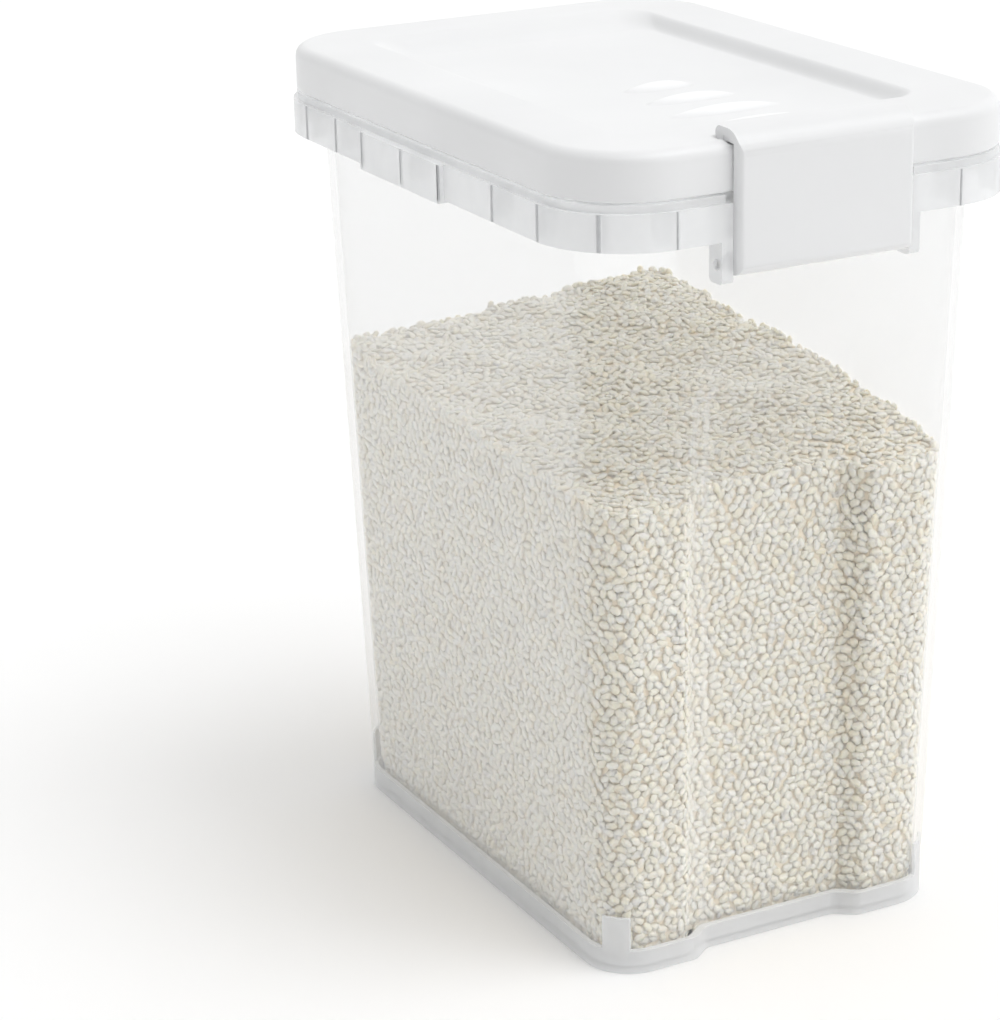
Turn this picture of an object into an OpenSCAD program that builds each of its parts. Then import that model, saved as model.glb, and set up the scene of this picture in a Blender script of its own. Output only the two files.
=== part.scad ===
// Upright bin for dry rice: a clear container in a frosted base tray, a ribbed
// frosted collar round its mouth, and a white lid that hinges at the back and is
// held down by a swing latch at the front.
// Millimetres. +Z is up, the latch faces -Y, and the origin is the middle of the
// underside.

/* [Container] */
// Outside width at the rim, side to side
rim_w = 166; // [154:1:180]
// Outside depth at the rim, front to back
rim_d = 232; // [216:1:250]
// Outside width where the wall meets the base tray
foot_w = 149; // [140:1:153]
// Outside depth where the wall meets the base tray
foot_d = 219; // [206:1:223]
// Height of the rim above the floor that the bin stands on
rim_z = 300; // [270:1:340]
// Plan radius of the upright corners
wall_corner = 19; // [17:0.5:26]
// Thickness of the clear wall
wall = 3; // [2.4:0.1:3.6]
// Thickness of the container's own bottom
bottom_t = 3; // [2:0.1:4]
// Width of the rim flange outside the wall
flange_w = 5; // [4:0.1:5.5]
// Thickness of the rim flange
flange_t = 3; // [2:0.1:4]

/* [Front dent] */
// Width of the flat floor of the upright dent in the front wall
dent_floor_w = 54; // [40:1:60]
// Width of each rounded step beside the dent
dent_step = 11; // [8:0.5:13]
// Depth of the dent at the foot of the wall
dent_foot_depth = 6; // [3:0.5:8]
// Height where the dent starts to fade out
dent_fade_z = 204; // [150:1:220]
// Length of the fade
dent_fade_h = 44; // [30:1:50]

/* [Base tray] */
// Height of the tray's band
tray_h = 9.5; // [7:0.5:14]
// Thickness of the tray's wall
tray_wall = 2.2; // [1.6:0.1:2.6]
// Thickness of the tray's floor
tray_floor = 2.2; // [1.6:0.1:3]
// Width of each corner tongue
tongue_w = 11; // [8:0.5:13]
// Height of each corner tongue above the floor that the bin stands on
tongue_z = 23; // [18:0.5:30]
// Thickness of each corner tongue
tongue_t = 1.2; // [0.8:0.1:1.4]

/* [Collar] */
// How far the lid's sides stand out from the container's rim
side_overhang = 9.5; // [9:0.1:13]
// How far the lid's front and back stand out from the container's rim
end_overhang = 15.5; // [14:0.1:18]
// How far the collar's skirt stands out past the lid
skirt_proud = 1.5; // [0.5:0.1:2.5]
// Height of the skirt
skirt_h = 13.5; // [11:0.5:15]
// Thickness of the skirt
skirt_t = 2.2; // [1.6:0.1:2.2]
// Height of the narrower lip above the skirt
lip_h = 2.8; // [2.4:0.1:3.4]
// How far the lip is set back from the skirt's face
lip_setback = 1.4; // [0.8:0.1:1.6]
// Thickness of the plate that laps over the rim flange
lap_t = 1.8; // [1.4:0.1:2.4]
// Width of the bare rim that the gasket presses on
land_w = 4.5; // [4:0.1:5]
// Thickness of each stiffening rib
rib_t = 1.6; // [1:0.1:2.2]
// Distance of the outermost side ribs from the start of the rounded corners
rib_inset = 4.5; // [3:0.5:12]
// Length of the diagonal ribs in the corners
corner_rib = 6; // [4:0.5:7]
// Height of the ribs' lower edge above the skirt's
rib_rise = 0.5; // [0.3:0.1:2]
// Length of the grip pad on each long side
pad_len = 66; // [50:1:74]
// Distance of the grip pads' middle behind the middle of the bin
pad_y = 6; // [0:0.5:10]
// How far a grip pad stands out from the skirt
pad_proud = 2.4; // [1:0.1:3]
// How far a grip pad hangs below the skirt
pad_drop = 1; // [0.5:0.1:2]

/* [Lid] */
// Height of the lid
lid_h = 17; // [16.5:0.5:22]
// Plan radius of the lid's corners
lid_corner = 34; // [28:0.5:38]
// Radius of the lid's rounded top edge
lid_edge_r = 4.5; // [3.5:0.5:8]
// Thickness of the lid's shell
lid_t = 2.5; // [2:0.1:2.8]
// Gap between the lid and the collar
seam_gap = 1.2; // [0.8:0.1:1.6]
// Width of the raised border at the lid's sides
border_side = 30; // [26:0.5:34]
// Width of the raised border at the lid's front and back
border_end = 29.5; // [26:0.5:36]
// Depth of the sunken panel
panel_depth = 5; // [3:0.1:5.4]
// Plan width of the sloping wall at the panel's front and sides
panel_slope = 5; // [3:0.1:7]
// Plan width of the gentler slope at the panel's back
panel_ramp = 14; // [8:0.5:16]
// Plan radius of the panel's corners
panel_corner = 12; // [9:0.5:18]
// Number of thumb ridges in front of the latch
ridge_count = 4; // [2:1:5]
// Length of the ridge farthest from the latch
ridge_short = 27; // [18:1:34]
// Length of the ridge nearest the latch
ridge_long = 48; // [38:1:60]
// Spacing of the ridges
ridge_pitch = 23.5; // [16:0.5:26]
// Width of each ridge
ridge_w = 7; // [4:0.5:9]
// Height of each ridge above the panel
ridge_h = 1.4; // [0.8:0.1:2]

/* [Lid liner and gasket] */
// Thickness of the liner's plate
liner_t = 2; // [1.6:0.1:2.6]
// Height of the liner's plate above the lid's lower edge
liner_z = 6; // [5:0.1:6.5]
// Thickness of the liner's upright walls
liner_wall = 1.6; // [1.2:0.1:1.8]
// How far the liner's inner wall reaches down into the mouth
plug_depth = 2; // [1:0.1:4]
// Height of the gasket
gasket_h = 4.3; // [3.6:0.1:4.8]

/* [Latch] */
// Width of the latch
latch_w = 72; // [56:1:76]
// Thickness of the latch's plate
latch_t = 2.8; // [2.2:0.1:3.2]
// How far the latch's face stands out from the lid's front
latch_proud = 5.2; // [4.6:0.1:6.5]
// How far the latch's lip stands above the lid
latch_rise = 4; // [3.6:0.1:5]
// Reach of the latch's lip back over the lid
latch_reach = 11.3; // [10:0.1:13]
// Radius of the latch's rounded top edge
latch_edge_r = 9; // [6:0.5:9.5]
// Radius of the bead at the tip of the lip
bead_r = 2.7; // [2.4:0.1:2.9]
// Depth of the pivot below the rim
pivot_drop = 23; // [20:0.5:28]
// Distance of the pivot behind the skirt's face
pivot_back = 3.5; // [3:0.1:5]
// Radius of the latch's pivot barrel
barrel_r = 3.8; // [3.4:0.1:4.4]
// Thickness of each latch ear
ear_t = 4.5; // [3.5:0.1:6]
// Width of each latch ear, front to back
ear_d = 8.6; // [8:0.1:10]
// Length of each ear below the pivot
ear_tail = 6.7; // [5:0.1:9]

/* [Lid hinge] */
// Distance of each hinge from the middle
hinge_x = 46; // [36:0.5:48]
// Width of the lid's knuckle in each hinge
knuckle_w = 20; // [12:0.5:24]
// Radius of the knuckle
knuckle_r = 4.5; // [3.8:0.1:4.8]
// Height of the knuckle's root up the lid's back
knuckle_root = 4; // [3:0.5:6]
// Thickness of each hinge ear on the collar
hinge_ear_t = 4; // [3:0.1:4.5]
// Gap between the knuckle and the skirt
hinge_gap = 0.8; // [0.5:0.1:1.5]

/* [Pins and fits] */
// Radius of all four pins
pin_r = 2; // [1.5:0.1:2.3]
// Radial clearance of a pin in the part that holds it
pin_hold = 0.03; // [0.02:0.01:0.05]
// Radial clearance of a pin in the part that turns on it
pin_run = 0.07; // [0.05:0.01:0.1]
// Depth of each latch pin's end below the ear's outer face
pin_inset = 1.2; // [0.5:0.1:2]
// Length of each latch pin inside the latch
pin_grip = 9; // [6:0.5:12]
// Clearance between moulded pieces that slip together
slip = 0.2; // [0.1:0.05:0.3]
// Clearance between pieces that move past each other
swing_gap = 0.5; // [0.4:0.05:0.8]
// Gap at rest between the gasket and the rim
seal_gap = 0.3; // [0.2:0.05:0.4]

/* [Hidden] */
$fn = 64;
eps = 0.01;
clear_tint = [0.93, 0.95, 0.96, 0.45];
frost_tint = [0.84, 0.86, 0.87, 0.85];
white_tint = "whitesmoke";
silicone_tint = "gainsboro";

// Heights
skirt_top = rim_z - lip_h + lap_t;
skirt_z = skirt_top - skirt_h;
collar_top = rim_z + lap_t;
lid_z = collar_top + seam_gap;
lid_top = lid_z + lid_h;
panel_z = lid_top - panel_depth;

// Plan half sizes
mouth_x = rim_w / 2 - wall;
mouth_y = rim_d / 2 - wall;
mouth_corner = wall_corner - wall;
flange_x = rim_w / 2 + flange_w;
flange_y = rim_d / 2 + flange_w;
lid_x = rim_w / 2 + side_overhang;
lid_y = rim_d / 2 + end_overhang;
skirt_x = lid_x + skirt_proud;
skirt_y = lid_y + skirt_proud;
skirt_corner = lid_corner + skirt_proud;
panel_x = lid_x - border_side;
panel_y = lid_y - border_end;

// Place of the dent's upright floor
dent_y = foot_d / 2 - dent_foot_depth;

// Latch
pivot_y = -(skirt_y - pivot_back);
pivot_z = rim_z - pivot_drop;
latch_face = -(lid_y + latch_proud);
latch_top = lid_top + latch_rise;
bead_y = -lid_y + latch_reach - bead_r;
bead_z = latch_top - bead_r;
ear_x = latch_w / 2 + swing_gap;
ear_foot = pivot_z - ear_tail;
bay_half = ear_x + ear_t / 2;
bay_y = skirt_y - pivot_back - barrel_r / 2;

// Lid hinge
hinge_y = skirt_y + hinge_gap + knuckle_r;
hinge_z = collar_top - knuckle_r / 10;
hinge_ear_r = knuckle_r + swing_gap;
hinge_ear_x = knuckle_w / 2 + swing_gap;

// Gasket ring
gasket_out = land_w - swing_gap;
gasket_roof = rim_z + seal_gap + gasket_h;

// ---- outlines -------------------------------------------------------------

function clamp01(t) = min(1, max(0, t));
function ease(t) = (1 - cos(180 * clamp01(t))) / 2;
function at_height(z, low, high) = low + (high - low) * (z - tray_h) / (rim_z - tray_h);

// Half width and half depth of the container's outside at a height
function half_w(z) = at_height(z, foot_w, rim_w) / 2;
function half_d(z) = at_height(z, foot_d, rim_d) / 2;

// Depth of the dent at a height
function dent_depth(z) = (half_d(z) - dent_y) * ease((dent_fade_z + dent_fade_h - z) / dent_fade_h);

// Points on an arc from one angle to another
function arc(cx, cy, r, from, to) = let (n = max(1, ceil(abs(to - from) / 10))) [
  for (i = [0 : n]) let (a = from + (to - from) * i / n) [cx + r * cos(a), cy + r * sin(a)]
];

// The three corners of a rounded rectangle that follow its front right one
function other_corners(x, y, r) = concat(
  arc(x - r, y - r, r, 0, 90),
  arc(r - x, y - r, r, 90, 180),
  arc(r - x, r - y, r, 180, 270)
);

// Rounded rectangle given by its half sizes
function round_rect(x, y, r) = concat(arc(x - r, r - y, r, 270, 360), other_corners(x, y, r));

// Front edge of the wall from its middle outwards on one side, as [x, share of the dent's depth]
function dent_edge(inset, side) = [
  for (i = [0 : 6]) let (t = side < 0 ? 1 - i / 6 : i / 6)
    [side * (dent_floor_w / 2 + inset + dent_step * t), ease(1 - t)]
];

// Outline of the container's wall at a height, moved inwards by inset
function wall_ring(z, inset) = let (
  w = half_w(z) - inset,
  d = half_d(z) - inset,
  r = wall_corner - inset
) concat(
  [for (p = concat(dent_edge(inset, -1), dent_edge(inset, 1))) [p[0], p[1] * dent_depth(z) - d]],
  arc(w - r, r - d, r, 270, 360),
  other_corners(w, d, r)
);

// Heights between the tray and the rim flange at which the wall is drawn
wall_levels = [for (i = [0 : 5]) dent_fade_z + dent_fade_h * i / 5];

// Edge profile of [inset, height] points: upright side, then a quarter round over the top
function round_over(z0, z1, r) = concat([[0, z0]], [for (p = arc(r, z1 - r, r, 180, 90)) p]);

// ---- building blocks ------------------------------------------------------

// Outline lifted to a height
function lifted(outline, z) = [for (p = outline) [p[0], p[1], z]];

// Point on the middle line, level with an outline
function middle(ring) = [0, 0, ring[0][2]];

// Solid through a stack of level outlines that have equally many points and go round the middle
module loft(rings) {
  n = len(rings[0]);
  m = len(rings);
  last = (m - 1) * n;
  points = concat([for (r = rings) each r], [middle(rings[0]), middle(rings[m - 1])]);
  faces = [
    for (i = [0 : n - 1])
      let (k = (i + 1) % n)
        each concat(
          [[i, k, m * n], [last + k, last + i, m * n + 1]],
          [for (j = [0 : m - 2]) [j * n + i, (j + 1) * n + i, j * n + k]],
          [for (j = [0 : m - 2]) [j * n + k, (j + 1) * n + i, (j + 1) * n + k]]
        )
  ];
  polyhedron(points, faces, convexity = 6);
}

// Part of the foot's own outline, upright
module foot_slab(inset, z0, z1) {
  translate([0, 0, z0])
    linear_extrude(z1 - z0)
      polygon(wall_ring(tray_h, inset));
}

module slab(x, y, r, z0, z1) {
  translate([0, 0, z0])
    linear_extrude(z1 - z0)
      polygon(round_rect(x, y, r));
}

// Upright ring between an outline and the same outline moved inwards
module hoop(x, y, r, thick, z0, z1) {
  difference() {
    slab(x, y, r, z0, z1);
    slab(x - thick, y - thick, r - thick, z0 - 1, z1 + 1);
  }
}

// Rounded rectangle whose edge follows a profile of [inset, height] points
module edged_block(x, y, r, profile) {
  loft([for (p = profile) lifted(round_rect(x - p[0], y - p[0], r - p[0]), p[1])]);
}

// Rod along X between two places
module rod(y, z, r, x0, x1) {
  translate([x0, y, z])
    rotate([0, 90, 0])
      cylinder(r = r, h = x1 - x0);
}

// Side view given as (y, z) points and thickened along X, centred on x
module side_plate(x, width, points) {
  translate([x, 0, 0])
    rotate([90, 0, 90])
      linear_extrude(width, center = true)
        polygon(points);
}

// Both signs of X
module both_sides() {
  children();
  mirror([1, 0, 0])
    children();
}

// Upright bar across each rounded corner of the foot
module corner_bars(width, z0, z1) {
  reach = wall_corner + 6;
  both_sides()
    for (side = [-1, 1])
      translate([foot_w / 2 - wall_corner, side * (foot_d / 2 - wall_corner), z0])
        rotate(side * 45)
          translate([0, -width / 2, 0])
            cube([reach, width, z1 - z0]);
}

// ---- bin body -------------------------------------------------------------

module base_tray() {
  color(frost_tint) {
    difference() {
      foot_slab(0, 0, tray_h);
      foot_slab(tray_wall, tray_floor, tray_h + 1);
    }
    intersection() {
      difference() {
        foot_slab(0, tray_h - 2, tongue_z);
        foot_slab(tongue_t, tray_h - 3, tongue_z + 1);
      }
      corner_bars(tongue_w, tray_h - 2, tongue_z);
    }
  }
}

// The cup, drawn up its outside, over the rim flange and down its inside
module cup() {
  plug_inset = tray_wall + slip;
  bottom_z = tray_h + wall;
  outside = concat([tray_h], wall_levels, [rim_z - flange_t]);
  inside = concat([rim_z], [for (i = [len(wall_levels) - 1 : -1 : 0]) wall_levels[i]], [bottom_z]);
  loft(concat(
    [for (z = [tray_floor, tray_h]) lifted(wall_ring(tray_h, plug_inset), z)],
    [for (z = outside) lifted(wall_ring(z, 0), z)],
    [for (z = [rim_z - flange_t, rim_z]) lifted(wall_ring(rim_z, -flange_w), z)],
    [for (z = inside) lifted(wall_ring(z, wall), z)],
    [for (z = [bottom_z, tray_floor + bottom_t]) lifted(wall_ring(tray_h, plug_inset + wall), z)]
  ));
}

module container() {
  pocket_top = tongue_z + slip;
  color(clear_tint)
    difference() {
      cup();
      intersection() {
        difference() {
          foot_slab(-4, tray_h - 1, pocket_top);
          foot_slab(tongue_t + slip, tray_h - 2, pocket_top + 1);
        }
        corner_bars(tongue_w + 2 * slip, tray_h - 1, pocket_top);
      }
    }
}

// Skirt and lip, without the ribs and ears
module collar_ring() {
  hoop(skirt_x, skirt_y, skirt_corner, skirt_t, skirt_z, skirt_top);
  lip_x = skirt_x - lip_setback;
  lip_y = skirt_y - lip_setback;
  lip_corner = skirt_corner - lip_setback;
  difference() {
    slab(lip_x, lip_y, lip_corner, skirt_top - 1, collar_top);
    slab(flange_x + slip, flange_y + slip, wall_corner + flange_w + slip, skirt_top - 2, rim_z);
    slab(mouth_x + land_w, mouth_y + land_w, mouth_corner + land_w, rim_z - 1, collar_top + 1);
  }
}

// Raised grip in the middle of each long side
module grip_pads() {
  both_sides()
    translate([skirt_x - skirt_t, pad_y - pad_len / 2, skirt_z - pad_drop])
      cube([skirt_t + pad_proud, pad_len, skirt_top + pad_drop - skirt_z]);
}

// One rib from the wall out to the skirt, along +X from the origin
module rib(length) {
  foot = skirt_z + rib_rise;
  translate([0, -rib_t / 2, foot])
    cube([length, rib_t, rim_z - flange_t - foot]);
}

// Ribs under the pad's middle, near each corner, and halfway between those and the pad's ends
module side_ribs() {
  wall_face = rim_w / 2 + slip;
  outer = skirt_y - skirt_corner - rib_inset;
  between = (outer + pad_len / 2) / 2;
  both_sides()
    for (y = [-outer, pad_y / 2 - between, pad_y, pad_y / 2 + between, outer])
      translate([wall_face, y, 0])
        rib(skirt_x - wall_face - skirt_t / 2);
}

// Front and back ribs, where the rounded corners start
module end_ribs() {
  wall_face = rim_d / 2 + slip;
  for (side = [-1, 1])
    both_sides()
      translate([skirt_x - skirt_corner, side * wall_face, 0])
        rotate(90 * side)
          rib(skirt_y - wall_face - skirt_t / 2);
}

// Diagonal rib in each corner
module corner_ribs() {
  for (sx = [-1, 1])
    for (sy = [-1, 1])
      translate([sx * (skirt_x - skirt_corner), sy * (skirt_y - skirt_corner), 0])
        rotate(sx > 0 ? sy * 45 : 180 - sy * 45)
          translate([skirt_corner - skirt_t - corner_rib, 0, 0])
            rib(corner_rib + skirt_t / 2);
}

// Ear beside the latch, which hangs below the skirt
module latch_ear() {
  foot_r = 2;
  front = -skirt_y;
  back = front + ear_d;
  side_plate(ear_x + ear_t / 2, ear_t, concat(
    arc(front + foot_r, ear_foot + foot_r, foot_r, 180, 270),
    arc(back - foot_r, ear_foot + foot_r, foot_r, 270, 360),
    [[back, skirt_top], [front, skirt_top]]
  ));
}

// Ear that carries one end of a lid hinge pin
module hinge_ear(x) {
  root = skirt_y - skirt_t / 2;
  side_plate(x, hinge_ear_t, concat(
    [[root, skirt_top], [root, skirt_z + 1]],
    arc(hinge_y, hinge_z, hinge_ear_r, -40, 190)
  ));
}

module hinge_ears() {
  both_sides()
    for (s = [-1, 1])
      hinge_ear(hinge_x + s * (hinge_ear_x + hinge_ear_t / 2));
}

module rim_collar() {
  bay_wall = skirt_y - bay_y;
  color(frost_tint)
    difference() {
      union() {
        difference() {
          union() {
            collar_ring();
            grip_pads();
            side_ribs();
            end_ribs();
            corner_ribs();
          }
          translate([-bay_half, -skirt_y - 1, skirt_z - 1])
            cube([2 * bay_half, bay_wall + 1, skirt_h + lip_h + 5]);
        }
        translate([-bay_half, -bay_y, skirt_z])
          cube([2 * bay_half, skirt_t, collar_top - skirt_z]);
        both_sides()
          latch_ear();
        hinge_ears();
      }
      rod(pivot_y, pivot_z, pin_r + pin_hold, -ear_x - ear_t - 1, ear_x + ear_t + 1);
      rod(hinge_y, hinge_z, pin_r + pin_hold, -skirt_x, skirt_x);
    }
}

module hinge_pin(x) {
  half = hinge_ear_x + hinge_ear_t;
  color(white_tint)
    rod(hinge_y, hinge_z, pin_r, x - half, x + half);
}

module latch_pin_right() {
  color(white_tint)
    rod(pivot_y, pivot_z, pin_r, latch_w / 2 - pin_grip, ear_x + ear_t - pin_inset);
}

module latch_pin_left() {
  mirror([1, 0, 0])
    latch_pin_right();
}

// ---- lid ------------------------------------------------------------------

// Thumb ridge along X: the upper half of a long ellipsoid that lies in the panel
module ridge(length) {
  translate([0, 0, panel_z])
    scale([length / 2, ridge_w / 2, ridge_h])
      sphere(1, $fn = 28);
}

module ridges() {
  first = -panel_y + panel_slope + ridge_w * 0.8;
  for (i = [0 : ridge_count - 1])
    translate([0, first + ridge_pitch * i, 0])
      ridge(ridge_long + (ridge_short - ridge_long) * i / (ridge_count - 1));
}

// Knuckle that turns on a hinge pin, with its web to the lid
module knuckle(x) {
  root = lid_y - lid_t;
  web_angle = 180 - asin((lid_z - hinge_z) / knuckle_r);
  side_plate(x, knuckle_w, concat(
    [[root, lid_z + knuckle_root], [root, lid_z]],
    arc(hinge_y, hinge_z, knuckle_r, web_angle, 420)
  ));
}

// The sunken panel's floor, which lies nearer to the front because of the ramp behind it
function panel_floor() = let (
  x = panel_x - panel_slope,
  y = panel_y - (panel_slope + panel_ramp) / 2
) [for (p = round_rect(x, y, panel_corner - panel_slope / 2)) p + [0, (panel_slope - panel_ramp) / 2]];

module sunken_panel() {
  edge = round_rect(panel_x, panel_y, panel_corner);
  loft([lifted(panel_floor(), panel_z), lifted(edge, lid_top), lifted(edge, lid_top + 1)]);
}

// Room for the latch's bead on its way out of the groove, seen from the side
module latch_seat() {
  swing_r = norm([bead_y - pivot_y, bead_z - pivot_z]) - bead_r - swing_gap;
  start = atan2(bead_z - pivot_z, bead_y - pivot_y);
  side_plate(0, 2 * ear_x, concat(
    arc(pivot_y, pivot_z, swing_r, start, 102),
    [[-lid_y - 2, lid_top + 1], [bead_y, lid_top + 1]]
  ));
}

// Thicker stretch under the latch's groove
module latch_backing() {
  half = ear_x + lid_t;
  back = bead_y + bead_r + swing_gap + lid_t;
  translate([-half, -lid_y, lid_top - 2 * lid_t])
    cube([2 * half, lid_y + back, 2 * lid_t]);
}

module lid_shell() {
  cavity_r = lid_edge_r - lid_t;
  well_profile = [
    [0, panel_z - lid_t],
    [0, panel_z - lid_t + panel_depth],
    [0, lid_top]
  ];
  color(white_tint)
    difference() {
      union() {
        difference() {
          edged_block(lid_x, lid_y, lid_corner, round_over(lid_z, lid_top, lid_edge_r));
          difference() {
            edged_block(lid_x - lid_t, lid_y - lid_t, lid_corner - lid_t,
              round_over(lid_z - 1, lid_top - lid_t, cavity_r));
            edged_block(panel_x + lid_t, panel_y + lid_t, panel_corner + lid_t, well_profile);
            latch_backing();
          }
          sunken_panel();
        }
        ridges();
        both_sides()
          knuckle(hinge_x);
      }
      rod(bead_y, bead_z, bead_r + swing_gap, -ear_x, ear_x);
      latch_seat();
      rod(hinge_y, hinge_z, pin_r + pin_run, -lid_x, lid_x);
    }
}

module lid_liner() {
  plate_z = lid_z + liner_z;
  plate_top = plate_z + liner_t;
  rise = plate_top - (lid_top - lid_edge_r);
  cavity_r = lid_edge_r - lid_t;
  tuck = lid_t + slip + cavity_r - sqrt(cavity_r * cavity_r - max(0, rise) * max(0, rise));
  channel_out = land_w + liner_wall;
  color(white_tint) {
    slab(lid_x - tuck, lid_y - tuck, lid_corner - tuck, plate_z, plate_top);
    hoop(mouth_x + channel_out, mouth_y + channel_out, mouth_corner + channel_out,
      channel_out + slip + liner_wall, gasket_roof, plate_z + eps);
    hoop(mouth_x + channel_out, mouth_y + channel_out, mouth_corner + channel_out,
      liner_wall, collar_top + swing_gap, gasket_roof + eps);
    hoop(mouth_x - slip * 2, mouth_y - slip * 2, mouth_corner - slip * 2,
      liner_wall, rim_z - plug_depth, gasket_roof + eps);
  }
}

module lid_gasket() {
  color(silicone_tint)
    hoop(mouth_x + gasket_out, mouth_y + gasket_out, mouth_corner + gasket_out,
      gasket_out - slip, rim_z + seal_gap, gasket_roof);
}

// ---- latch ----------------------------------------------------------------

// Centre of the latch's rounded top edge, seen from the side
bend_y = latch_face + latch_edge_r;
bend_z = latch_top - latch_edge_r;

// Side view of the latch's plate, lip and pivot barrel, as (y, z) points
function latch_section() = let (
  foot_r = barrel_r + 0.4,
  foot_z = pivot_z - barrel_r + foot_r,
  under_lip = latch_top - latch_t
) concat(
  arc(latch_face + foot_r, foot_z, foot_r, 180, 270),
  arc(pivot_y, pivot_z, barrel_r, 270, 450),
  [[latch_face + latch_t, pivot_z + barrel_r]],
  arc(bend_y, bend_z, latch_edge_r - latch_t, 180, 90),
  arc(bead_y, bead_z, bead_r, 180 + asin((bead_z - under_lip) / bead_r), 450),
  arc(bend_y, bend_z, latch_edge_r, 90, 180)
);

// Side view of the cheek that closes each end of the latch, as (y, z) points
function cheek_section() = let (
  back = -lid_y - swing_gap,
  r = latch_edge_r - latch_t / 2
) concat(
  [[back, pivot_z]],
  arc(bend_y, bend_z, r, acos((back - bend_y) / r), 180),
  [[bend_y - r, pivot_z]]
);

module latch() {
  corner_r = 2.5;
  half_depth = (latch_reach + latch_proud) / 2 + 5;
  bore_end = latch_w / 2 - pin_grip - swing_gap;
  color(white_tint)
    difference() {
      intersection() {
        union() {
          side_plate(0, latch_w, latch_section());
          both_sides()
            side_plate((latch_w - latch_t) / 2, latch_t, cheek_section());
        }
        translate([0, latch_face + half_depth, 0])
          slab(latch_w / 2, half_depth, corner_r, 0, latch_top + 1);
      }
      both_sides()
        rod(pivot_y, pivot_z, pin_r + pin_run, bore_end, latch_w / 2 + 1);
    }
}

base_tray();
container();
rim_collar();
hinge_pin(-hinge_x);  // hinge_pin_left
hinge_pin(hinge_x);  // hinge_pin_right
latch_pin_left();
latch_pin_right();
lid_shell();
lid_liner();
lid_gasket();
latch();
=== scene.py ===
import math

import bmesh
import bpy
import numpy as np
from mathutils import Matrix, Vector


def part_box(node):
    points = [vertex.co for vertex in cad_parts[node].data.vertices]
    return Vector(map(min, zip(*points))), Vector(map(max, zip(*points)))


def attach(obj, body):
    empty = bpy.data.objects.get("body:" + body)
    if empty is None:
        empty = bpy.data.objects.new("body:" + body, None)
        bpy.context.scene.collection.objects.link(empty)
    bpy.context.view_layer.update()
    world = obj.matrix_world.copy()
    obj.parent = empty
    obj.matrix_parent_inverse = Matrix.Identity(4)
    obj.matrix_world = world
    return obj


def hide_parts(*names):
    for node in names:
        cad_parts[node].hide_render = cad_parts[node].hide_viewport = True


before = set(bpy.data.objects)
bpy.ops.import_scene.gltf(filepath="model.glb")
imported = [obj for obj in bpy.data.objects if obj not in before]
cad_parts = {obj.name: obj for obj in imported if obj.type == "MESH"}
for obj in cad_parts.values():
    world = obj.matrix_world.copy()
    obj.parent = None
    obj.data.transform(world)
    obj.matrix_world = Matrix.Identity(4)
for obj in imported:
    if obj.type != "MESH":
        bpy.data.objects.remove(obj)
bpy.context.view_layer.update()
dice = np.random.default_rng(41)
meshCare = {
    "weld": 2e-6,               # points closer than this are one
    "sliver": 1e-6,
    "flatDegrees": 0.6,
    "cornerDegrees": 34,        # a CAD edge sharper than this gets rounded
}
print("frame loaded")


def quarter(steps):
    return np.linspace(0, math.pi / 2, steps + 1)


def ease(t):
    return (1 - np.cos(np.pi * np.clip(t, 0, 1))) / 2


def arcPoints(centre, radius, angles):
    return np.column_stack([centre[0] + radius * np.cos(angles), centre[1] + radius * np.sin(angles)])


# a rounded rectangle, always with equally many points
def roundOutline(half, radius, cornerSteps=16, sideSteps=1):
    turn = quarter(cornerSteps)
    halfX, halfY = half
    corners = [
        arcPoints((halfX - radius, radius - halfY), radius, turn - math.pi / 2),
        arcPoints((halfX - radius, halfY - radius), radius, turn),
        arcPoints((radius - halfX, halfY - radius), radius, turn + math.pi / 2),
        arcPoints((radius - halfX, radius - halfY), radius, turn + math.pi),
    ]
    points = []
    for i, corner in enumerate(corners):
        points.append(corner)
        start, end = corner[-1], corners[(i + 1) % 4][0]
        share = np.arange(1, sideSteps)[:, None] / sideSteps
        points.append(start + (end - start) * share)
    return np.concatenate(points)


# a closed skin through a stack of rings of equally many points
def ringsToMesh(name, rings, sharpDegrees=38):
    rings = [np.asarray(ring, float) for ring in rings]
    count, rows = len(rings[0]), len(rings)
    middles = [rings[0].mean(0), rings[-1].mean(0)]
    points = np.concatenate(rings + [np.array(middles)])
    around = np.arange(count)
    ahead = (around + 1) % count
    faces = []
    for row in range(rows - 1):
        low, high = row * count, (row + 1) * count
        faces += np.column_stack([around + low, ahead + low, ahead + high, around + high]).tolist()
    first, last = rows * count, rows * count + 1
    faces += [(first, b, a) for a, b in zip(around.tolist(), ahead.tolist())]
    top = (rows - 1) * count
    faces += [(last, top + a, top + b) for a, b in zip(around.tolist(), ahead.tolist())]
    return pieceFrom(name, points, faces, sharpDegrees)


def pieceFrom(name, points, faces, sharpDegrees=38):
    mesh = bpy.data.meshes.new(name)
    mesh.from_pydata([tuple(p) for p in points], [], [tuple(f) for f in faces])
    return cleanPiece(name, mesh, sharpDegrees)


def cleanPiece(name, mesh, sharpDegrees):
    form = bmesh.new()
    form.from_mesh(mesh)
    bmesh.ops.remove_doubles(form, verts=form.verts, dist=meshCare["weld"])
    bmesh.ops.dissolve_degenerate(form, edges=form.edges, dist=meshCare["sliver"])
    bmesh.ops.recalc_face_normals(form, faces=form.faces)
    form.to_mesh(mesh)
    form.free()
    for face in mesh.polygons:
        face.use_smooth = True
    mesh.set_sharp_from_angle(angle=math.radians(sharpDegrees))
    piece = bpy.data.objects.new(name, mesh)
    bpy.context.scene.collection.objects.link(piece)
    return piece


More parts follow.
